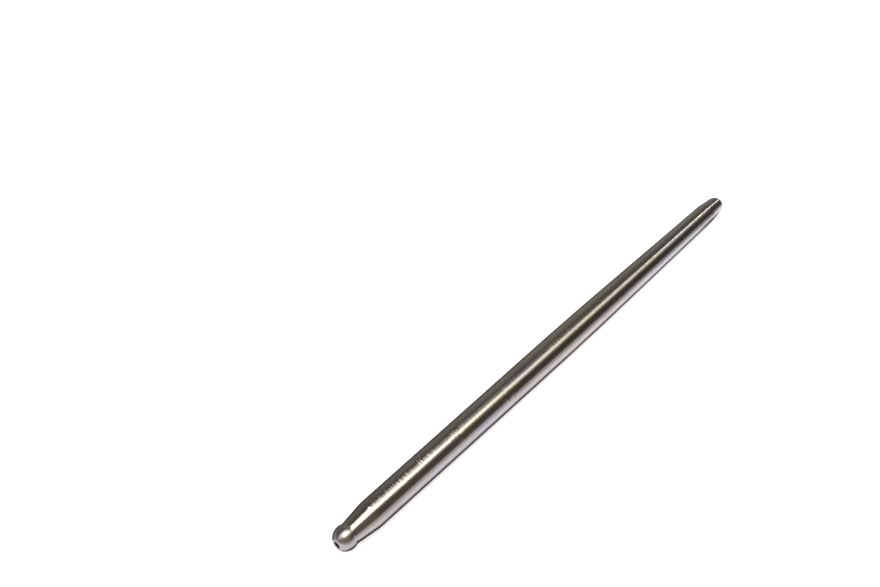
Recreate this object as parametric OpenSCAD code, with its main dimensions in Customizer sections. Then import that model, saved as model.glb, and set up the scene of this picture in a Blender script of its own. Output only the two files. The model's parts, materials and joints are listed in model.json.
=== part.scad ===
// One-piece engine pushrod: a seamless steel tube, thickest in the middle, that tapers slowly to both
// ends and is drawn down there to a nose and a ball. An oil passage runs through its whole length.
// The rod lies along X, from the lifter end to the rocker end, with the origin at the centre of the
// lifter end's ball. Sizes are in millimetres, angles in degrees.

/* [Tube] */
// Length over both balls, to where their tips would be without the flats on them
overall_length = 250.825; // [180:0.005:340]
// Outside diameter of the thick middle
middle_d = 11.1125; // [9.6:0.0005:15]
// Length of the middle that keeps its full diameter
middle_length = 25.4; // [5:0.1:120]
// Outside diameter where the tube meets each nose
end_d = 9.525; // [8.5:0.005:12.7]
// Thickness of the tube's wall
tube_wall = 2.03; // [0.9:0.01:2.8]

/* [Ball ends] */
// Diameter of the ball at each end
ball_d = 7.9375; // [7:0.0005:9.5]
// Arc of the ball's outline, from neck to neck round the tip
ball_sweep = 225; // [200:1:250]
// Diameter of the flat on each ball's tip, round the oil hole
tip_flat_d = 3.97; // [2.6:0.01:5]
// Length of the nose, from the neck behind the ball to the shoulder
nose_length = 8.4; // [5:0.1:25]
// Radius of the hollow between ball and nose
neck_blend_r = 2; // [0.5:0.1:4]
// Radius of the soft shoulder between nose and tube
shoulder_blend_r = 12; // [5:1:60]

/* [Oil passage] */
// Diameter of the oil hole through each ball
oil_hole_d = 2.1; // [1:0.05:3]
// Width of the broken edge at each oil hole's mouth
mouth_break = 0.15; // [0.05:0.05:0.5]

/* [Hidden] */
$fn = 96;
steel_colour = "#8c8880";

// Radii, and the distance between the two ball centres
middle_r = middle_d / 2;
end_r = end_d / 2;
ball_r = ball_d / 2;
oil_hole_r = oil_hole_d / 2;
centre_distance = overall_length - ball_d;

// Profile points are [distance from the axis, distance along it from the lifter ball's centre]
past_equator = (ball_sweep - 180) / 2;
neck_point = ball_r * [cos(past_equator), sin(past_equator)];
shoulder_point = [end_r, neck_point[1] + nose_length];
middle_point = [middle_r, (centre_distance - middle_length) / 2];

// The nose's flank and the long taper's flank: how far each leans from the axis, and which way it runs
nose_angle = atan2(end_r - neck_point[0], nose_length);
nose_along = [sin(nose_angle), cos(nose_angle)];
nose_outward = [cos(nose_angle), -sin(nose_angle)];
tube_angle = atan2(middle_r - end_r, middle_point[1] - shoulder_point[1]);
tube_along = [sin(tube_angle), cos(tube_angle)];
tube_outward = [cos(tube_angle), -sin(tube_angle)];

// The blend arcs cross the lines they soften by this much, so that no cut ends on a bare touch
blend_overlap = 0.0005;
// The cut at the shoulder starts this far outside the flanks
shoulder_clear = 4 * blend_overlap;

// Hollow at the neck: its arc touches the ball at one end and the nose at the other
nose_offset = neck_point * nose_outward;
hollow_offset = nose_offset + neck_blend_r;
hollow_run = sqrt(pow(ball_r + neck_blend_r, 2) - pow(hollow_offset, 2));
hollow_centre = hollow_offset * nose_outward + hollow_run * nose_along;
hollow_on_nose = hollow_centre - neck_blend_r * nose_outward;

// Shoulder: its arc touches the nose and the tube, the same run from the corner on each
shoulder_run = shoulder_blend_r * tan((nose_angle - tube_angle) / 2);
shoulder_on_nose = shoulder_point - shoulder_run * nose_along;
shoulder_on_tube = shoulder_point + shoulder_run * tube_along;
shoulder_centre = shoulder_on_nose - shoulder_blend_r * nose_outward;

// Flat on the ball's tip, with the oil hole's mouth: the cut starts outside it and breaks the hole's edge
tip_place = -sqrt(pow(ball_r, 2) - pow(tip_flat_d / 2, 2));
flare_r = oil_hole_r + 2 * mouth_break;
beyond_tip = -ball_r - mouth_break;

// Half of the body's outline, from the ball's centre to the middle
body_half = [
    [0, 0],
    neck_point,
    shoulder_point,
    middle_point
];

// Half of the oil passage: mouth, straight hole, a cone under the nose, then the bore inside the wall
passage_half = [
    [0, beyond_tip],
    [flare_r, beyond_tip],
    [flare_r, tip_place - mouth_break],
    [oil_hole_r, tip_place + mouth_break],
    [oil_hole_r, neck_point[1]],
    [end_r - tube_wall, shoulder_point[1]],
    [middle_r - tube_wall, middle_point[1]]
];

// A half outline followed by its mirror image at the rocker end
function both_halves(half) = concat(
    half,
    [for (i = [len(half) - 1 : -1 : 0]) [half[i][0], centre_distance - half[i][1]]]
);

// Metal from the axis out to the hollow's arc, which fills the corner between ball and nose
module neck_hollow() {
    difference() {
        polygon([[0, 0], hollow_centre, hollow_on_nose, [0, hollow_on_nose[1]]]);
        translate(hollow_centre)
            circle(neck_blend_r + blend_overlap);
    }
}

// Corner that the shoulder's arc takes off between nose and tube
module shoulder_corner() {
    difference() {
        polygon([
            shoulder_on_nose + shoulder_clear * nose_outward,
            shoulder_point + [2 * shoulder_clear, 0],
            shoulder_on_tube + shoulder_clear * tube_outward
        ]);
        translate(shoulder_centre)
            circle(shoulder_blend_r + blend_overlap);
    }
}

// What it is given at the lifter end, and again at the rocker end
module at_both_ends() {
    children();
    translate([0, centre_distance])
        mirror([0, 1])
            children();
}

// Outside of the whole rod between the flats, on the positive side of the axis only
module rod_outline() {
    intersection() {
        union() {
            difference() {
                polygon(both_halves(body_half));
                at_both_ends() shoulder_corner();
            }
            at_both_ends() {
                circle(ball_r);
                neck_hollow();
            }
        }
        translate([0, tip_place])
            square([max(middle_r, end_r, ball_r), centre_distance - 2 * tip_place]);
    }
}

// The rod: its outline less the oil passage, turned about the axis and laid along X
module pushrod() {
    color(steel_colour)
        rotate([0, 90, 0])
            rotate_extrude()
                difference() {
                    rod_outline();
                    polygon(both_halves(passage_half));
                }
}

pushrod();
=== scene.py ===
"""A ground steel engine pushrod, turned to its frame and lit on a pale table."""

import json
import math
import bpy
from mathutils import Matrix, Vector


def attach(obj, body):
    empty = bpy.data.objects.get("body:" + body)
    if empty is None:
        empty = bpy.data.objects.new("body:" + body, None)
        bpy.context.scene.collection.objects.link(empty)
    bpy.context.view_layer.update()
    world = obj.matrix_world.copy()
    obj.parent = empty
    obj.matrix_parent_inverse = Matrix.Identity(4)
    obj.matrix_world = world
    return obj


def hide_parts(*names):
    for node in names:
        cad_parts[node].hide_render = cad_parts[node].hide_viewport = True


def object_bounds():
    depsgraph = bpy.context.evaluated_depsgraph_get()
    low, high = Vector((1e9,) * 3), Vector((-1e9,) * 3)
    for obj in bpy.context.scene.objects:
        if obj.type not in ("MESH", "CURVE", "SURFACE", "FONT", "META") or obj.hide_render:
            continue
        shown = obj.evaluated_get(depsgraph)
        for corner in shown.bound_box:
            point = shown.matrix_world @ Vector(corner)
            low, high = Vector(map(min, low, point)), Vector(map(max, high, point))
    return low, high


bl_info = {
    "name": "Ground Steel Pushrod",
    "version": (1, 0, 0),
    "blender": (4, 5, 0),
    "location": "View3D > Sidebar > Pushrod",
    "description": "Turns a hollow pushrod with ball ends, gives it ground steel finishes and lights it",
    "category": "Object",
}

from collections import namedtuple

import bpy
from bpy.props import FloatProperty, FloatVectorProperty, IntProperty, PointerProperty
from mathutils import Quaternion, Vector

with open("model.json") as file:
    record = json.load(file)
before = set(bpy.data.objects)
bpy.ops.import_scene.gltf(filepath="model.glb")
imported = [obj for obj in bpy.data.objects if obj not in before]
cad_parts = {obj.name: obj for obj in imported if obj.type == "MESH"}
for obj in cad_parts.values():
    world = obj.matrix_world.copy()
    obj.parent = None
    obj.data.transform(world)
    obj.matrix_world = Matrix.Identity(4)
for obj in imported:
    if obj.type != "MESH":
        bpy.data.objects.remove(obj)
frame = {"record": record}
CAD_BOX = [list(corner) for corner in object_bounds()]
MOUNTS = {mount["name"]: mount for mount in frame["record"]["mounts"]}

ROD_NODE = "pushrod"
MM = 0.001
QUARTER_TURN = math.radians(90)

# Steps of the profile's arcs
BALL_STEPS = 40
HOLLOW_STEPS = 8
SHOULDER_STEPS = 10
# Edges sharper than this stay sharp in the shading
SHARP_ANGLE = math.radians(25)
# Points of the turned section that lie closer together than this are one point
MERGE_DISTANCE = 0.00015 * MM
# How far outside the bore's nominal wall a face may lie and still belong to the passage
PASSAGE_SLACK = 0.1 * MM

# The image that the camera's lens is worked out for
IMAGE_WIDTH = 880
SENSOR_WIDTH = 36.0

WHITE_LIGHT = (1.0, 0.985, 0.96)
WARM_LIGHT = (1.0, 0.84, 0.50)

# Lamps above the rod: shape, middle in metres from the lifter ball's centre, length and width, watts, colour
LAMPS = {
    "left_strip": ("RECTANGLE", (-1.35, 0.36, 0.9), (1.7, 0.42), 3.2, WHITE_LIGHT),
    "round_softbox": ("ELLIPSE", (-0.15, -0.07, 0.9), (0.95, 0.68), 4.9, WHITE_LIGHT),
    "fill_softbox": ("ELLIPSE", (0.38, 0.14, 0.95), (0.45, 0.55), 0.32, WHITE_LIGHT),
    "near_strip": ("RECTANGLE", (0.38, -0.20, 0.9), (0.36, 0.34), 1.4, WHITE_LIGHT),
    "middle_strip": ("RECTANGLE", (1.00, -0.245, 0.9), (0.70, 0.35), 0.96, WHITE_LIGHT),
    "far_strip": ("RECTANGLE", (1.95, -0.03, 0.9), (1.05, 0.10), 2.1, WHITE_LIGHT),
    "warm_strip": ("RECTANGLE", (0.80, -0.52, 0.9), (0.75, 0.28), 0.20, WARM_LIGHT),
}

# Noise on the steel: its scale per metre along the rod and round it, its detail and its seed
Cloud = namedtuple("Cloud", "along around detail seed")
MARK_PATCHES = Cloud(70.0, 110.0, 2.0, 8.6)
STRAW_CLOUD = Cloud(45.0, 160.0, 3.0, 7.7)
VIOLET_CLOUD = Cloud(90.0, 260.0, 3.0, 2.9)
MARK_DETAIL = 2.0
FINE_SEED = 1.3
BROAD_SEED = 4.1
NOISE_MEAN = 0.5
# How much the fine and the broad marks count in the steel's roughness
FINE_SHARE = 0.8
BROAD_SHARE = 0.2

# A smooth ramp: two limits of what goes in, metres where that is a place, and what comes out at each
Ramp = namedtuple("Ramp", "start end low high", defaults=(0.0, 1.0))
WHOLE = Ramp(0.0, 1.0)

# Where the steel's noise becomes patches, marks, scratches and tints
PATCH_EDGE = Ramp(0.52, 0.68, 0.04, 1.0)
MARK_EDGE = Ramp(0.38, 0.62)
SCRATCH_EDGE = Ramp(0.52, 0.70)
STRAW_EDGE = Ramp(0.36, 0.62)
VIOLET_EDGE = Ramp(0.45, 0.7)

# Along the rod: the marks grow faint, scuffs start at the lifter end's nose, straw covers the middle
MARK_FADE = Ramp(0.09, 0.17, 1.0, 0.12)
SCUFF_START = Ramp(0.004, 0.015)
SCUFF_END = Ramp(0.014, 0.075, 1.0, 0.0)
STRAW_START = Ramp(0.075, 0.11)
STRAW_END = Ramp(0.135, 0.165, 1.0, 0.0)
# Across the rod: the scuffs lie above the highlight and leave it whole
SCUFF_TOP = Ramp(-0.0015, -0.0004)

# Turn of the tangent, as a share of a whole turn, which draws the shine out along the rod
ALONG_ROD = 0.25

TABLE_SIZE = 12.0
PAPER_ROUGHNESS = 0.9
# How far a point of the table looks for the rod, and with how many rays
GAP_REACH = 0.008
GAP_SAMPLES = 8
# The table's white as the camera sees it, by how open the table is there
GAP_SHADE = Ramp(0.05, 0.42, 0.35, 0.85)
# Painted reflection: the steel mirrors a pale table on the camera's side of the rod and before its lifter
# end, but not far past its rocker end; elsewhere it mirrors a painted dark
PAINTED_DARK_SIDE_EDGE = Ramp(0.008, 0.004)
PAINTED_DARK_LIFTER_EDGE = Ramp(-0.015, -0.045)
PAINTED_DARK_ROCKER_EDGE = Ramp(0.34, 0.29)
# Painted shadow in the mirrored gap under the rod, by distance from its axis, and how that distance is
# weighed along the rod
PAINTED_SHADOW_EDGE = Ramp(0.0072, 0.0118, 0.06, 1.0)
PAST_END_WEIGHT = 1.8
NEAR_WEIGHT = Ramp(0.0, 0.12, 1.12, 1.0)
FAR_NOSE_WEIGHT = Ramp(0.226, 0.240, 1.0, 0.72)
# Painted light: the mirrored table grows brighter towards the rod, and most so at the rocker end
PAINTED_BRIGHTENING_ACROSS = Ramp(-0.04, -0.014, 0.84)
PAINTED_BRIGHTENING_ALONG = Ramp(0.0, 0.2, 1.22, 1.6)

# What is left of a direction when its part along the rod is taken out
ACROSS_ROD = (0.0, 1.0, 1.0)
# The room by direction. Across the rod, it has a back, a ceiling and a pale low strip
BACK_EDGE = Ramp(0.3, 1.15)
CEILING_EDGE = Ramp(-0.55, 0.05)
LOW_EDGE = Ramp(0.26, 0.04)
# Along the rod, the back grows dim towards the lifter end, in two steps, and the front grows brown
BACK_FAR = Ramp(0.35, 0.75, 0.62, 1.0)
BACK_NEAR = Ramp(-0.1, 0.3, 0.7, 1.0)
FRONT_NEAR = Ramp(0.75, -0.4)
WHITE = (1.0, 1.0, 1.0)


class PushrodSizes(bpy.types.PropertyGroup):
    """Sizes of the rod; the frame gives those that its mounts state."""

    centre_distance: FloatProperty(
        name="Centre Distance",
        description="Distance between the centres of the two balls",
        default=MOUNTS["rocker_ball"]["pos_m"][0],
        unit="LENGTH",
    )
    middle_radius: FloatProperty(
        name="Middle Radius",
        description="Outside radius of the thick middle",
        default=MOUNTS["shank"]["dims"]["r_mm"] * MM,
        unit="LENGTH",
    )
    middle_length: FloatProperty(
        name="Middle Length",
        description="Length of the middle that keeps its full radius",
        default=MOUNTS["shank"]["dims"]["length_mm"] * MM,
        unit="LENGTH",
    )
    end_radius: FloatProperty(
        name="End Radius",
        description="Outside radius where the tube meets each nose",
        default=9.525 * MM / 2,
        unit="LENGTH",
    )
    oil_hole_radius: FloatProperty(
        name="Oil Hole Radius",
        description="Radius of the oil hole through each ball",
        default=MOUNTS["lifter_oil_hole"]["dims"]["r_mm"] * MM,
        unit="LENGTH",
    )
    tube_wall: FloatProperty(
        name="Tube Wall",
        description="Thickness of the tube's wall",
        default=2.03 * MM,
        unit="LENGTH",
    )
    ball_radius: FloatProperty(
        name="Ball Radius",
        description="Radius of the ball at each end",
        default=7.9375 * MM / 2,
        unit="LENGTH",
    )
    ball_sweep: FloatProperty(
        name="Ball Sweep",
        description="Arc of the lifter ball's outline, from neck to neck round the tip",
        default=math.radians(225),
        subtype="ANGLE",
    )
    tip_flat_radius: FloatProperty(
        name="Tip Flat Radius",
        description="Radius of the flat on each ball's tip, round the oil hole",
        default=3.97 * MM / 2,
        unit="LENGTH",
    )
    nose_length: FloatProperty(
        name="Nose Length",
        description="Length of the nose, from the neck behind the ball to the shoulder",
        default=8.4 * MM,
        unit="LENGTH",
    )
    neck_blend: FloatProperty(
        name="Neck Blend",
        description="Radius of the hollow between the lifter end's ball and nose",
        default=2 * MM,
        unit="LENGTH",
    )
    shoulder_blend: FloatProperty(
        name="Shoulder Blend",
        description="Radius of the soft shoulder between nose and tube",
        default=12 * MM,
        unit="LENGTH",
    )
    mouth_break: FloatProperty(
        name="Mouth Break",
        description="Width of the broken edge at each oil hole's mouth",
        default=0.15 * MM,
        unit="LENGTH",
    )
    turning_steps: IntProperty(
        name="Turning Steps",
        description="Number of flats that the turned surface has round the axis",
        default=192,
        min=24,
    )


class SteelFinish(bpy.types.PropertyGroup):
    """Colours and grinding of the steel."""

    steel: FloatVectorProperty(
        name="Steel",
        description="Bare ground steel",
        default=(0.54, 0.52, 0.49),
        subtype="COLOR",
        size=3,
    )
    straw: FloatVectorProperty(
        name="Straw",
        description="Pale yellow temper tint",
        default=(0.56, 0.50, 0.375),
        subtype="COLOR",
        size=3,
    )
    violet: FloatVectorProperty(
        name="Violet",
        description="Faint violet brown temper tint",
        default=(0.47, 0.41, 0.42),
        subtype="COLOR",
        size=3,
    )
    tube_tint: FloatProperty(
        name="Tube Tint",
        description="How strong the temper tints are on the tube",
        default=0.7,
        subtype="FACTOR",
    )
    ball_tint: FloatProperty(
        name="Ball Tint",
        description="How strong the temper tints are on the balls",
        default=0.35,
        subtype="FACTOR",
    )
    bore: FloatVectorProperty(
        name="Bore",
        description="Oily steel inside the passage",
        default=(0.16, 0.14, 0.12),
        subtype="COLOR",
        size=3,
    )
    bore_roughness: FloatProperty(
        name="Bore Roughness",
        description="Roughness of the steel inside the passage",
        default=0.45,
        subtype="FACTOR",
    )
    tube_roughness: FloatVectorProperty(
        name="Tube Roughness",
        description="Roughness of the tube's smoothest and roughest grinding marks",
        default=(0.23, 0.29),
        size=2,
    )
    ball_roughness: FloatVectorProperty(
        name="Ball Roughness",
        description="Roughness of the ball's smoothest and roughest grinding marks",
        default=(0.30, 0.36),
        size=2,
    )
    tube_stretch: FloatProperty(
        name="Tube Stretch",
        description="How far the marks draw the tube's shine out along the rod",
        default=0.75,
        subtype="FACTOR",
    )
    ball_stretch: FloatProperty(
        name="Ball Stretch",
        description="How far the marks draw the ball's shine out along the rod",
        default=0.45,
        subtype="FACTOR",
    )
    mark_tilt: FloatProperty(
        name="Mark Tilt",
        description="How much a grinding mark turns the surface about the rod's axis",
        default=0.35,
    )
    ball_mark_share: FloatProperty(
        name="Ball Mark Share",
        description="Share of the tube's mark tilt that the balls have",
        default=0.25,
        subtype="FACTOR",
    )
    scuff_turn: FloatProperty(
        name="Scuff Turn",
        description="How much a scuff near the lifter end turns the surface towards the lamps",
        default=0.22,
    )
    fine_mark: FloatProperty(
        name="Fine Mark",
        description="Spacing of the finest grinding marks along the rod",
        default=0.35 * MM,
        unit="LENGTH",
    )
    broad_mark: FloatProperty(
        name="Broad Mark",
        description="Spacing of the broad grinding marks along the rod",
        default=0.9 * MM,
        unit="LENGTH",
    )
    mark_reach: FloatProperty(
        name="Mark Reach",
        description="How far a grinding mark runs round the rod before it fades",
        default=6 * MM,
        unit="LENGTH",
    )


class StudioSettings(bpy.types.PropertyGroup):
    """Camera, room and table."""

    camera_place: FloatVectorProperty(
        name="Camera Place",
        description="Where the camera stands, from the lifter ball's centre",
        default=(-0.075939, -0.104395, 0.19007),
        subtype="XYZ",
        unit="LENGTH",
    )
    camera_aim: FloatVectorProperty(
        name="Camera Aim",
        description="Point that the middle of the picture falls on",
        default=(0.104406, 0.055031, 0.0),
        subtype="XYZ",
        unit="LENGTH",
    )
    camera_roll: FloatProperty(
        name="Camera Roll",
        description="Turn of the camera about its line of sight",
        default=math.radians(-0.2997),
        subtype="ANGLE",
    )
    focal_pixels: FloatProperty(
        name="Focal Length in Pixels",
        description="Focal length, in pixels of the picture's width",
        default=742.1,
    )
    room_front: FloatVectorProperty(
        name="Room Front",
        description="Dark room on the camera's side",
        default=(0.045, 0.042, 0.041),
        subtype="COLOR",
        size=3,
    )
    room_near: FloatVectorProperty(
        name="Room Near",
        description="Brown near side of the room, beyond the lifter end",
        default=(0.24, 0.197, 0.183),
        subtype="COLOR",
        size=3,
    )
    room_top: FloatVectorProperty(
        name="Room Top",
        description="Dim ceiling beside the lamps",
        default=(0.050, 0.047, 0.044),
        subtype="COLOR",
        size=3,
    )
    room_back: FloatVectorProperty(
        name="Room Back",
        description="Dim room beyond the rod",
        default=(0.345, 0.322, 0.310),
        subtype="COLOR",
        size=3,
    )
    room_low: FloatVectorProperty(
        name="Room Low",
        description="Pale strip of the room just above the table, on the camera's side",
        default=(0.58, 0.56, 0.60),
        subtype="COLOR",
        size=3,
    )
    paper: FloatVectorProperty(
        name="Paper",
        description="Matt white of the table",
        default=(0.92, 0.92, 0.93),
        subtype="COLOR",
        size=3,
    )
    # Painted reflection: the pale colour that mirrored rays see of the table, instead of the lit paper
    painted_pale_reflection: FloatVectorProperty(
        name="Painted Pale Reflection",
        description="The white table as the steel mirrors it",
        default=(0.88, 0.86, 1.0),
        subtype="COLOR",
        size=3,
    )
    # Painted dark reflection of the table behind the rod and past its rocker end
    painted_dark_reflection: FloatVectorProperty(
        name="Painted Dark Reflection",
        description="What the steel mirrors of the table behind the rod",
        default=(0.10, 0.092, 0.085),
        subtype="COLOR",
        size=3,
    )


def profile_arc(centre, radius, start, end, steps):
    """Points of an arc, as (along, out); angles run from +X towards +radius."""
    return [
        (
            centre[0] + radius * math.cos(start + (end - start) * i / steps),
            centre[1] + radius * math.sin(start + (end - start) * i / steps),
        )
        for i in range(steps + 1)
    ]


def lean(angle):
    """Unit vectors, as (along, out), that run along a flank of that angle and stand out from it."""
    return Vector((math.cos(angle), math.sin(angle))), Vector((-math.sin(angle), math.cos(angle)))


def neck_place(sizes):
    """Where the lifter end's ball would meet its nose without the hollow, as (along, out)."""
    past_equator = (sizes.ball_sweep - math.pi) / 2
    return Vector((sizes.ball_radius * math.sin(past_equator), sizes.ball_radius * math.cos(past_equator)))


def ball_arc(sizes, end):
    """A ball's outline from the rim of the flat on its tip to an angle."""
    start = math.pi - math.asin(sizes.tip_flat_radius / sizes.ball_radius)
    return profile_arc((0, 0), sizes.ball_radius, start, end, BALL_STEPS)


def necked_ball(sizes, shoulder):
    """The lifter end's ball and the hollow behind it, as (along, out), and the angle of the nose's flank."""
    neck = neck_place(sizes)
    nose_angle = math.atan2(shoulder.y - neck.y, shoulder.x - neck.x)
    along, outward = lean(nose_angle)
    hollow_offset = neck.dot(outward) + sizes.neck_blend
    hollow_run = math.sqrt((sizes.ball_radius + sizes.neck_blend) ** 2 - hollow_offset**2)
    hollow_centre = hollow_offset * outward + hollow_run * along
    hollow_angle = math.atan2(hollow_centre.y, hollow_centre.x)
    hollow_start = hollow_angle + 2 * QUARTER_TURN
    hollow_end = nose_angle + 3 * QUARTER_TURN
    hollow = profile_arc(hollow_centre, sizes.neck_blend, hollow_start, hollow_end, HOLLOW_STEPS)
    return ball_arc(sizes, hollow_angle) + hollow[1:], nose_angle


def plain_ball(sizes, shoulder):
    """The rocker end's ball, which the nose's flank runs into without a hollow, and the flank's angle."""
    to_shoulder = math.atan2(shoulder.y, shoulder.x)
    nose_angle = to_shoulder - math.asin(sizes.ball_radius / shoulder.length)
    return ball_arc(sizes, nose_angle + QUARTER_TURN), nose_angle


def end_profile(sizes, shoulder, middle, ball, nose_angle):
    """Outline of one end, from the oil hole's wall round the ball to the middle, as (along, out)."""
    tip = ball[0][0]
    mouth = [
        (tip + sizes.mouth_break, sizes.oil_hole_radius),
        (tip, sizes.oil_hole_radius + sizes.mouth_break),
    ]
    tube_angle = math.atan2(middle.y - shoulder.y, middle.x - shoulder.x)
    along, outward = lean(nose_angle)
    shoulder_run = sizes.shoulder_blend * math.tan((nose_angle - tube_angle) / 2)
    shoulder_centre = shoulder - shoulder_run * along - sizes.shoulder_blend * outward
    rounding = profile_arc(
        shoulder_centre,
        sizes.shoulder_blend,
        QUARTER_TURN + nose_angle,
        QUARTER_TURN + tube_angle,
        SHOULDER_STEPS,
    )
    return mouth + ball + rounding + [tuple(middle)]


def rod_profile(sizes):
    """Closed outline of the rod's section above the axis: outside, then back through the oil passage."""
    neck = neck_place(sizes)
    shoulder = Vector((neck.x + sizes.nose_length, sizes.end_radius))
    middle = Vector(((sizes.centre_distance - sizes.middle_length) / 2, sizes.middle_radius))
    lifter_end = end_profile(sizes, shoulder, middle, *necked_ball(sizes, shoulder))
    rocker_end = end_profile(sizes, shoulder, middle, *plain_ball(sizes, shoulder))
    passage = [
        (middle.x, middle.y - sizes.tube_wall),
        (shoulder.x, shoulder.y - sizes.tube_wall),
        (neck.x, sizes.oil_hole_radius),
    ]
    rocker_back = [(sizes.centre_distance - along, out) for along, out in reversed(rocker_end)]
    passage_back = [(sizes.centre_distance - along, out) for along, out in reversed(passage)]
    return lifter_end + rocker_back + passage_back + passage


def select_only_faces(mesh, wanted):
    """In object mode, selects the faces for which wanted(centre, normal) is true."""
    for face in mesh.polygons:
        face.select = wanted(face.center, face.normal)
    for edge in mesh.edges:
        edge.select = False
    for vertex in mesh.vertices:
        vertex.select = False


def link(tree, source, target):
    """Joins two sockets of a node tree."""
    tree.links.new(source, target)


def new_group(name, inputs, outputs):
    """A shader node group with named sockets; returns the tree, its input node and its output node."""
    tree = bpy.data.node_groups.new(name, "ShaderNodeTree")
    for in_out, sockets in (("INPUT", inputs), ("OUTPUT", outputs)):
        for socket_name, kind in sockets:
            tree.interface.new_socket(socket_name, in_out=in_out, socket_type=kind)
    return tree, tree.nodes.new("NodeGroupInput"), tree.nodes.new("NodeGroupOutput")


def math_node(tree, operation, first, second):
    """A Math node; each operand is a socket or a number."""
    node = tree.nodes.new("ShaderNodeMath")
    node.operation = operation
    for socket, value in zip(node.inputs, (first, second)):
        if isinstance(value, (int, float)):
            socket.default_value = value
        else:
            link(tree, value, socket)
    return node.outputs[0]


def product(tree, first, *others):
    """Sockets and numbers, multiplied together."""
    for other in others:
        first = math_node(tree, "MULTIPLY", first, other)
    return first


def ramp_node(tree, value, ramp, low=None, high=None):
    """A smooth Map Range node for a ramp; a socket can take the place of what comes out at either limit."""
    node = tree.nodes.new("ShaderNodeMapRange")
    node.interpolation_type = "SMOOTHSTEP"
    link(tree, value, node.inputs["Value"])
    for name, number in zip(("From Min", "From Max", "To Min", "To Max"), ramp):
        node.inputs[name].default_value = number
    for name, socket in (("To Min", low), ("To Max", high)):
        if socket is not None:
            link(tree, socket, node.inputs[name])
    return node.outputs["Result"]


def place_on_object(tree):
    """X, Y and Z on the object, as sockets."""
    split = tree.nodes.new("ShaderNodeSeparateXYZ")
    link(tree, tree.nodes.new("ShaderNodeTexCoord").outputs["Object"], split.inputs["Vector"])
    return split.outputs


def stretched_noise(tree, cloud):
    """Noise on Object coordinates; a cloud's scales are sockets or numbers."""
    place = tree.nodes.new("ShaderNodeTexCoord")
    scale = tree.nodes.new("ShaderNodeCombineXYZ")
    for name, value in (("X", cloud.along), ("Y", cloud.around), ("Z", cloud.around)):
        if isinstance(value, (int, float)):
            scale.inputs[name].default_value = value
        else:
            link(tree, value, scale.inputs[name])
    noise = tree.nodes.new("ShaderNodeTexNoise")
    noise.noise_dimensions = "4D"
    noise.inputs["W"].default_value = cloud.seed
    noise.inputs["Scale"].default_value = 1.0
    noise.inputs["Detail"].default_value = cloud.detail
    stretched = vector_node(tree, "MULTIPLY", place.outputs["Object"], scale.outputs["Vector"])
    link(tree, stretched, noise.inputs["Vector"])
    return noise.outputs["Fac"]


def mix_colour(tree, factor, first, second):
    """A colour mix; each colour is a socket or three numbers."""
    node = tree.nodes.new("ShaderNodeMix")
    node.data_type = "RGBA"
    link(tree, factor, node.inputs["Factor"])
    for socket, colour in ((node.inputs["A"], first), (node.inputs["B"], second)):
        if isinstance(colour, tuple):
            socket.default_value = (*colour, 1.0)
        else:
            link(tree, colour, socket)
    return node.outputs["Result"]


def vector_node(tree, operation, first, second):
    """A Vector Math node whose operands are sockets."""
    node = tree.nodes.new("ShaderNodeVectorMath")
    node.operation = operation
    link(tree, first, node.inputs[0])
    if second is not None:
        link(tree, second, node.inputs["Scale"] if operation == "SCALE" else node.inputs[1])
    return node.outputs["Vector"]


def round_axis_node(tree):
    """The direction round the rod's axis at each place on its surface."""
    node = tree.nodes.new("ShaderNodeTangent")
    node.direction_type = "RADIAL"
    node.axis = "X"
    return node.outputs["Tangent"]


def grinding_marks_group():
    """Marks of grinding round the rod: each has its own roughness and turns the surface a little."""
    tree, given, result = new_group(
        "grinding_marks",
        [
            ("Fine per Metre", "NodeSocketFloat"),
            ("Broad per Metre", "NodeSocketFloat"),
            ("Round per Metre", "NodeSocketFloat"),
            ("Smoothest", "NodeSocketFloat"),
            ("Roughest", "NodeSocketFloat"),
            ("Tilt", "NodeSocketFloat"),
            ("Scuff Turn", "NodeSocketFloat"),
        ],
        [("Roughness", "NodeSocketFloat"), ("Normal", "NodeSocketVector")],
    )
    round_rod = given.outputs["Round per Metre"]
    fine_marks = Cloud(given.outputs["Fine per Metre"], round_rod, MARK_DETAIL, FINE_SEED)
    broad_marks = Cloud(given.outputs["Broad per Metre"], round_rod, MARK_DETAIL, BROAD_SEED)
    fine = stretched_noise(tree, fine_marks)
    broad = stretched_noise(tree, broad_marks)
    place = place_on_object(tree)
    patch = ramp_node(tree, stretched_noise(tree, MARK_PATCHES), PATCH_EDGE)
    patch = product(tree, patch, ramp_node(tree, place["X"], MARK_FADE))
    mark = math_node(tree, "ADD", product(tree, fine, FINE_SHARE), product(tree, broad, BROAD_SHARE))
    rough = product(tree, ramp_node(tree, mark, MARK_EDGE), patch)
    roughness = ramp_node(tree, rough, WHOLE, given.outputs["Smoothest"], given.outputs["Roughest"])
    link(tree, roughness, result.inputs["Roughness"])

    turn = product(tree, math_node(tree, "SUBTRACT", fine, NOISE_MEAN), given.outputs["Tilt"], patch)
    scuffed = product(
        tree,
        ramp_node(tree, place["X"], SCUFF_START),
        ramp_node(tree, place["X"], SCUFF_END),
        ramp_node(tree, place["Y"], SCUFF_TOP),
    )
    scratch = ramp_node(tree, fine, SCRATCH_EDGE, high=given.outputs["Scuff Turn"])
    turn = math_node(tree, "ADD", turn, product(tree, scratch, scuffed))
    surface = tree.nodes.new("ShaderNodeNewGeometry").outputs["Normal"]
    turned = vector_node(tree, "ADD", surface, vector_node(tree, "SCALE", round_axis_node(tree), turn))
    link(tree, vector_node(tree, "NORMALIZE", turned, None), result.inputs["Normal"])
    return tree


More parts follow.
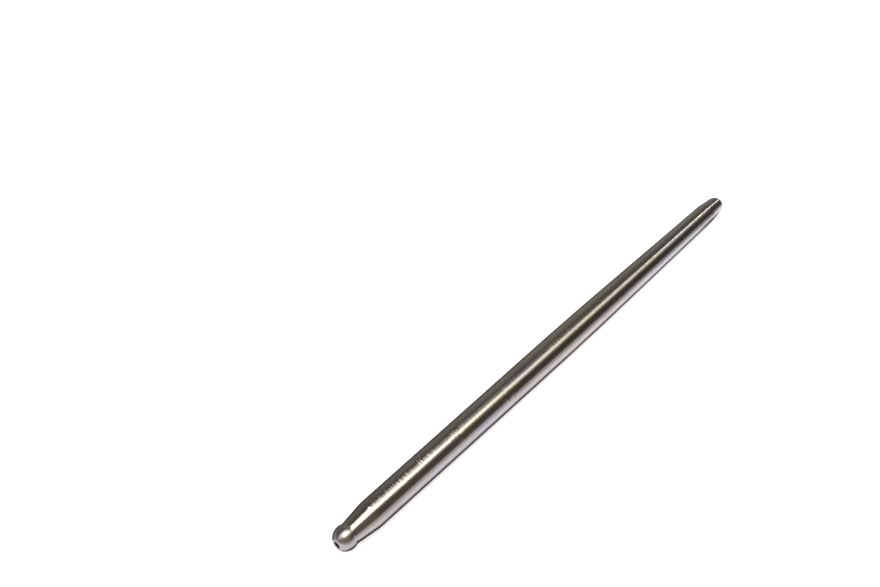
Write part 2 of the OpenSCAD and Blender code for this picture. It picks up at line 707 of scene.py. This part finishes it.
def temper_tint_group():
    """Heat colours on steel: straw round the rod's middle, and cloudy patches of straw and violet."""
    tree, given, result = new_group(
        "temper_tint",
        [
            ("Steel", "NodeSocketColor"),
            ("Straw", "NodeSocketColor"),
            ("Violet", "NodeSocketColor"),
            ("Amount", "NodeSocketFloat"),
        ],
        [("Color", "NodeSocketColor")],
    )
    amount = given.outputs["Amount"]
    along = place_on_object(tree)["X"]
    middle = product(tree, ramp_node(tree, along, STRAW_START), ramp_node(tree, along, STRAW_END))
    straw = ramp_node(tree, stretched_noise(tree, STRAW_CLOUD), STRAW_EDGE)
    straw = product(tree, math_node(tree, "MAXIMUM", straw, middle), amount)
    violet = product(tree, ramp_node(tree, stretched_noise(tree, VIOLET_CLOUD), VIOLET_EDGE), amount)
    tinted = mix_colour(tree, straw, given.outputs["Steel"], given.outputs["Straw"])
    link(tree, mix_colour(tree, violet, tinted, given.outputs["Violet"]), result.inputs["Color"])
    return tree


def metal(name, stretch):
    """A bare metal whose shine is drawn out along the rod; returns the material, its tree and its shader."""
    material = bpy.data.materials.new(name)
    material.use_nodes = True
    tree = material.node_tree
    shader = tree.nodes["Principled BSDF"]
    shader.inputs["Metallic"].default_value = 1.0
    shader.inputs["Anisotropic"].default_value = stretch
    shader.inputs["Anisotropic Rotation"].default_value = ALONG_ROD
    link(tree, round_axis_node(tree), shader.inputs["Tangent"])
    return material, tree, shader


def ground_steel(name, finish, groups, roughness, tint, stretch, tilt):
    """Ground steel, with its tint and its marks from the shared groups."""
    material, tree, shader = metal(name, stretch)
    colour = tree.nodes.new("ShaderNodeGroup")
    colour.node_tree = groups["tint"]
    for socket, shade in (("Steel", finish.steel), ("Straw", finish.straw), ("Violet", finish.violet)):
        colour.inputs[socket].default_value = (*shade, 1.0)
    colour.inputs["Amount"].default_value = tint
    link(tree, colour.outputs["Color"], shader.inputs["Base Color"])

    marks = tree.nodes.new("ShaderNodeGroup")
    marks.node_tree = groups["marks"]
    marks.inputs["Fine per Metre"].default_value = 1 / finish.fine_mark
    marks.inputs["Broad per Metre"].default_value = 1 / finish.broad_mark
    marks.inputs["Round per Metre"].default_value = 1 / finish.mark_reach
    marks.inputs["Smoothest"].default_value = roughness[0]
    marks.inputs["Roughest"].default_value = roughness[1]
    marks.inputs["Tilt"].default_value = tilt
    marks.inputs["Scuff Turn"].default_value = finish.scuff_turn
    link(tree, marks.outputs["Roughness"], shader.inputs["Roughness"])
    link(tree, marks.outputs["Normal"], shader.inputs["Normal"])
    return material


def oily_steel(name, finish):
    """Dark steel of the passage."""
    material, tree, shader = metal(name, 0.0)
    shader.inputs["Base Color"].default_value = (*finish.bore, 1.0)
    shader.inputs["Roughness"].default_value = finish.bore_roughness
    return material


class PUSHROD_OT_turn_rod(bpy.types.Operator):
    """Turn the rod's section about its axis and give its tube, balls and passage their steels"""

    bl_idname = "pushrod.turn_rod"
    bl_label = "Turn Rod"

    def execute(self, context):
        sizes = context.scene.pushrod_sizes
        rod = self.turn(sizes)
        self.paint(rod, sizes, context.scene.steel_finish)
        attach(rod, "root")
        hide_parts(ROD_NODE)
        return {"FINISHED"}

    def turn(self, sizes):
        """Draws the section point by point from a single vertex, then spins it round the X axis."""
        points = [Vector((along, 0, out)) for along, out in rod_profile(sizes)]
        bpy.ops.object.select_all(action="DESELECT")
        bpy.ops.mesh.primitive_plane_add(size=sizes.middle_radius, location=(0, 0, 0))
        rod = bpy.context.active_object
        rod.name = rod.data.name = "turned_rod"
        bpy.ops.object.mode_set(mode="EDIT")
        bpy.ops.mesh.merge(type="CENTER")
        bpy.ops.transform.translate(value=points[0])
        for last, point in zip(points, points[1:] + points[:1]):
            bpy.ops.mesh.extrude_region_move(TRANSFORM_OT_translate={"value": point - last})
        bpy.ops.mesh.select_all(action="SELECT")
        bpy.ops.mesh.remove_doubles(threshold=MERGE_DISTANCE)
        bpy.ops.mesh.spin(steps=sizes.turning_steps, angle=math.tau, center=(0, 0, 0), axis=(1, 0, 0))
        bpy.ops.mesh.select_all(action="SELECT")
        bpy.ops.mesh.remove_doubles(threshold=MERGE_DISTANCE)
        bpy.ops.mesh.normals_make_consistent(inside=False)
        bpy.ops.object.mode_set(mode="OBJECT")
        bpy.ops.object.shade_smooth_by_angle(angle=SHARP_ANGLE)
        expected = len(points) * sizes.turning_steps
        if len(rod.data.vertices) != expected:
            raise RuntimeError(f"the turned rod has {len(rod.data.vertices)} points, not {expected}")
        return rod

    def paint(self, rod, sizes, finish):
        """Gives the tube, the balls and the passage a steel each."""
        groups = {"marks": grinding_marks_group(), "tint": temper_tint_group()}
        tube = ground_steel(
            "ground_tube",
            finish,
            groups,
            finish.tube_roughness,
            finish.tube_tint,
            finish.tube_stretch,
            finish.mark_tilt,
        )
        ball = ground_steel(
            "ground_ball",
            finish,
            groups,
            finish.ball_roughness,
            finish.ball_tint,
            finish.ball_stretch,
            finish.mark_tilt * finish.ball_mark_share,
        )
        passage = oily_steel("oily_bore", finish)
        for material in (tube, ball, passage):
            rod.data.materials.append(material)
        neck = neck_place(sizes).x
        passage_radius = sizes.middle_radius - sizes.tube_wall + PASSAGE_SLACK

        def on_ball(centre, normal):
            return centre.x < neck or centre.x > sizes.centre_distance - neck

        def in_passage(centre, normal):
            faces_axis = normal.y * centre.y + normal.z * centre.z < 0
            return faces_axis and math.hypot(centre.y, centre.z) < passage_radius

        for slot, wanted in ((1, on_ball), (2, in_passage)):
            select_only_faces(rod.data, wanted)
            rod.active_material_index = slot
            bpy.ops.object.mode_set(mode="EDIT")
            bpy.ops.object.material_slot_assign()
            bpy.ops.object.mode_set(mode="OBJECT")


class PUSHROD_OT_build_stage(bpy.types.Operator):
    """Lay the pale table, hang the lamps, light the room and place the camera"""

    bl_idname = "pushrod.build_stage"
    bl_label = "Build Stage"

    def execute(self, context):
        studio = context.scene.studio_settings
        self.lay_table(studio)
        for name, lamp in LAMPS.items():
            self.hang_lamp(name, *lamp)
        self.light_room(studio)
        self.place_camera(studio)
        context.scene.view_settings.view_transform = "Standard"
        return {"FINISHED"}

    def lay_table(self, studio):
        """A white table under the rod; mirrored rays see a painted reflection of it, with a painted shadow
        under the rod's side.
        """
        bpy.ops.object.select_all(action="DESELECT")
        bpy.ops.mesh.primitive_plane_add(size=TABLE_SIZE, location=(0, 0, CAD_BOX[0][2]))
        table = bpy.context.active_object
        table.name = table.data.name = "pale_table"
        material = bpy.data.materials.new("pale_table")
        material.use_nodes = True
        tree = material.node_tree
        path = tree.nodes.new("ShaderNodeLightPath")
        mix = tree.nodes.new("ShaderNodeMixShader")
        link(tree, path.outputs["Is Glossy Ray"], mix.inputs["Fac"])
        link(tree, self.table_as_seen(tree, path, studio), mix.inputs[1])
        link(tree, self.painted_table_reflection(tree, studio), mix.inputs[2])
        link(tree, mix.outputs["Shader"], tree.nodes["Material Output"].inputs["Surface"])
        table.data.materials.append(material)

    def table_as_seen(self, tree, path, studio):
        """Matt paper that the camera sees white, but for the shade close to the rod."""
        paper = tree.nodes["Principled BSDF"]
        paper.inputs["Base Color"].default_value = (*studio.paper, 1.0)
        paper.inputs["Roughness"].default_value = PAPER_ROUGHNESS
        paper.inputs["Specular IOR Level"].default_value = 0.0
        gap = tree.nodes.new("ShaderNodeAmbientOcclusion")
        gap.samples = GAP_SAMPLES
        gap.inputs["Distance"].default_value = GAP_REACH
        seen = math_node(tree, "MAXIMUM", path.outputs["Is Camera Ray"], path.outputs["Is Transmission Ray"])
        white = tree.nodes.new("ShaderNodeEmission")
        shade = ramp_node(tree, gap.outputs["AO"], GAP_SHADE)
        link(tree, product(tree, shade, seen), white.inputs["Strength"])
        lit = tree.nodes.new("ShaderNodeAddShader")
        link(tree, paper.outputs["BSDF"], lit.inputs[0])
        link(tree, white.outputs["Emission"], lit.inputs[1])
        return lit.outputs["Shader"]

    def painted_table_reflection(self, tree, studio):
        """Painted reflection of the table: pale in front and brighter towards the rod, painted dark behind
        the rod and a painted shadow in the gap under it.
        """
        place = place_on_object(tree)
        along, across = place["X"], place["Y"]
        mirrored = tree.nodes.new("ShaderNodeEmission")
        # Where the reflection is painted pale, and where painted dark behind the rod and past its rocker end
        shown = math_node(
            tree, "MAXIMUM", ramp_node(tree, across, PAINTED_DARK_SIDE_EDGE), ramp_node(tree, along, PAINTED_DARK_LIFTER_EDGE)
        )
        shown = product(tree, shown, ramp_node(tree, along, PAINTED_DARK_ROCKER_EDGE))
        colour = mix_colour(tree, shown, tuple(studio.painted_dark_reflection), tuple(studio.painted_pale_reflection))
        link(tree, colour, mirrored.inputs["Color"])

        # Painted shadow under the rod, as the steel mirrors the table
        from_axis = product(
            tree,
            self.distance_from_axis(tree, along, across),
            ramp_node(tree, along, NEAR_WEIGHT),
            ramp_node(tree, along, FAR_NOSE_WEIGHT),
        )
        # Painted brightening of the mirrored table towards the rod, strongest at the rocker end
        painted_brightening_peak = ramp_node(tree, along, PAINTED_BRIGHTENING_ALONG)
        painted_shadow_and_brightening = product(
            tree,
            ramp_node(tree, from_axis, PAINTED_SHADOW_EDGE),
            ramp_node(tree, across, PAINTED_BRIGHTENING_ACROSS, high=painted_brightening_peak),
        )
        link(tree, painted_shadow_and_brightening, mirrored.inputs["Strength"])
        return mirrored.outputs["Emission"]

    def distance_from_axis(self, tree, along, across):
        """Distance on the table from the line between the ball centres, with more weight past its ends."""
        before = product(tree, along, -1.0)
        after = math_node(tree, "SUBTRACT", along, MOUNTS["rocker_ball"]["pos_m"][0])
        past_end = math_node(tree, "MAXIMUM", before, after)
        past_end = product(tree, math_node(tree, "MAXIMUM", past_end, 0.0), PAST_END_WEIGHT)
        squares = math_node(tree, "ADD", product(tree, across, across), product(tree, past_end, past_end))
        return math_node(tree, "POWER", squares, 0.5)

    def hang_lamp(self, name, shape, place, size, watts, colour):
        """One soft lamp above the rod, facing down."""
        bpy.ops.object.light_add(type="AREA", location=place)
        lamp = bpy.context.active_object
        lamp.name = lamp.data.name = name
        lamp.data.shape = shape
        lamp.data.size, lamp.data.size_y = size
        lamp.data.color = colour
        lamp.data.energy = watts

    def light_room(self, studio):
        """A dim warm room, lighter beyond the rod than on the camera's side; the camera sees it white."""
        world = bpy.data.worlds.new("dim_room")
        world.use_nodes = True
        tree = world.node_tree
        place = tree.nodes.new("ShaderNodeTexCoord")
        across = tree.nodes.new("ShaderNodeVectorMath")
        across.operation = "MULTIPLY"
        across.inputs[1].default_value = ACROSS_ROD
        link(tree, place.outputs["Generated"], across.inputs[0])
        split = tree.nodes.new("ShaderNodeSeparateXYZ")
        link(tree, vector_node(tree, "NORMALIZE", across.outputs["Vector"], None), split.inputs["Vector"])
        whole = tree.nodes.new("ShaderNodeSeparateXYZ")
        link(tree, place.outputs["Generated"], whole.inputs["Vector"])
        along = whole.outputs["X"]

        beyond = product(
            tree,
            ramp_node(tree, split.outputs["Y"], BACK_EDGE),
            ramp_node(tree, along, BACK_FAR),
            ramp_node(tree, along, BACK_NEAR),
        )
        room = mix_colour(tree, beyond, tuple(studio.room_top), tuple(studio.room_back))
        near_end = ramp_node(tree, along, FRONT_NEAR)
        front = mix_colour(tree, near_end, tuple(studio.room_front), tuple(studio.room_near))
        low = ramp_node(tree, split.outputs["Z"], LOW_EDGE)
        front = mix_colour(tree, low, front, tuple(studio.room_low))
        room = mix_colour(tree, ramp_node(tree, split.outputs["Y"], CEILING_EDGE), front, room)
        path = tree.nodes.new("ShaderNodeLightPath")
        shown = mix_colour(tree, path.outputs["Is Camera Ray"], room, WHITE)
        link(tree, shown, tree.nodes["Background"].inputs["Color"])
        bpy.context.scene.world = world

    def place_camera(self, studio):
        """The photograph's viewpoint."""
        bpy.ops.object.camera_add(location=studio.camera_place)
        camera = bpy.context.active_object
        camera.name = camera.data.name = "bench_camera"
        camera.data.sensor_width = SENSOR_WIDTH
        camera.data.lens = studio.focal_pixels / IMAGE_WIDTH * SENSOR_WIDTH
        camera.data.clip_start = MM
        line_of_sight = Vector(studio.camera_aim) - Vector(studio.camera_place)
        roll = Quaternion((0, 0, 1), studio.camera_roll)
        camera.rotation_euler = (line_of_sight.to_track_quat("-Z", "Y") @ roll).to_euler()
        bpy.context.scene.camera = camera


class PUSHROD_PT_sidebar(bpy.types.Panel):
    """Sizes, finish and stage of the pushrod"""

    bl_idname = "PUSHROD_PT_sidebar"
    bl_label = "Pushrod"
    bl_space_type = "VIEW_3D"
    bl_region_type = "UI"
    bl_category = "Pushrod"

    def draw(self, context):
        layout = self.layout
        scene = context.scene
        for title, group in (
            ("Sizes", scene.pushrod_sizes),
            ("Steel", scene.steel_finish),
            ("Studio", scene.studio_settings),
        ):
            box = layout.box()
            box.label(text=title)
            for name in group.__annotations__:
                box.prop(group, name)
        layout.operator(PUSHROD_OT_turn_rod.bl_idname)
        layout.operator(PUSHROD_OT_build_stage.bl_idname)


CLASSES = (
    PushrodSizes,
    SteelFinish,
    StudioSettings,
    PUSHROD_OT_turn_rod,
    PUSHROD_OT_build_stage,
    PUSHROD_PT_sidebar,
)
SETTINGS = {
    "pushrod_sizes": PushrodSizes,
    "steel_finish": SteelFinish,
    "studio_settings": StudioSettings,
}


def register():
    for cls in CLASSES:
        bpy.utils.register_class(cls)
    for name, group in SETTINGS.items():
        setattr(bpy.types.Scene, name, PointerProperty(type=group))


def unregister():
    for name in SETTINGS:
        delattr(bpy.types.Scene, name)
    for cls in reversed(CLASSES):
        bpy.utils.unregister_class(cls)


def main():
    """Builds the rod and its stage."""
    register()
    bpy.ops.pushrod.turn_rod()
    bpy.ops.pushrod.build_stage()


if __name__ == "__main__":
    main()
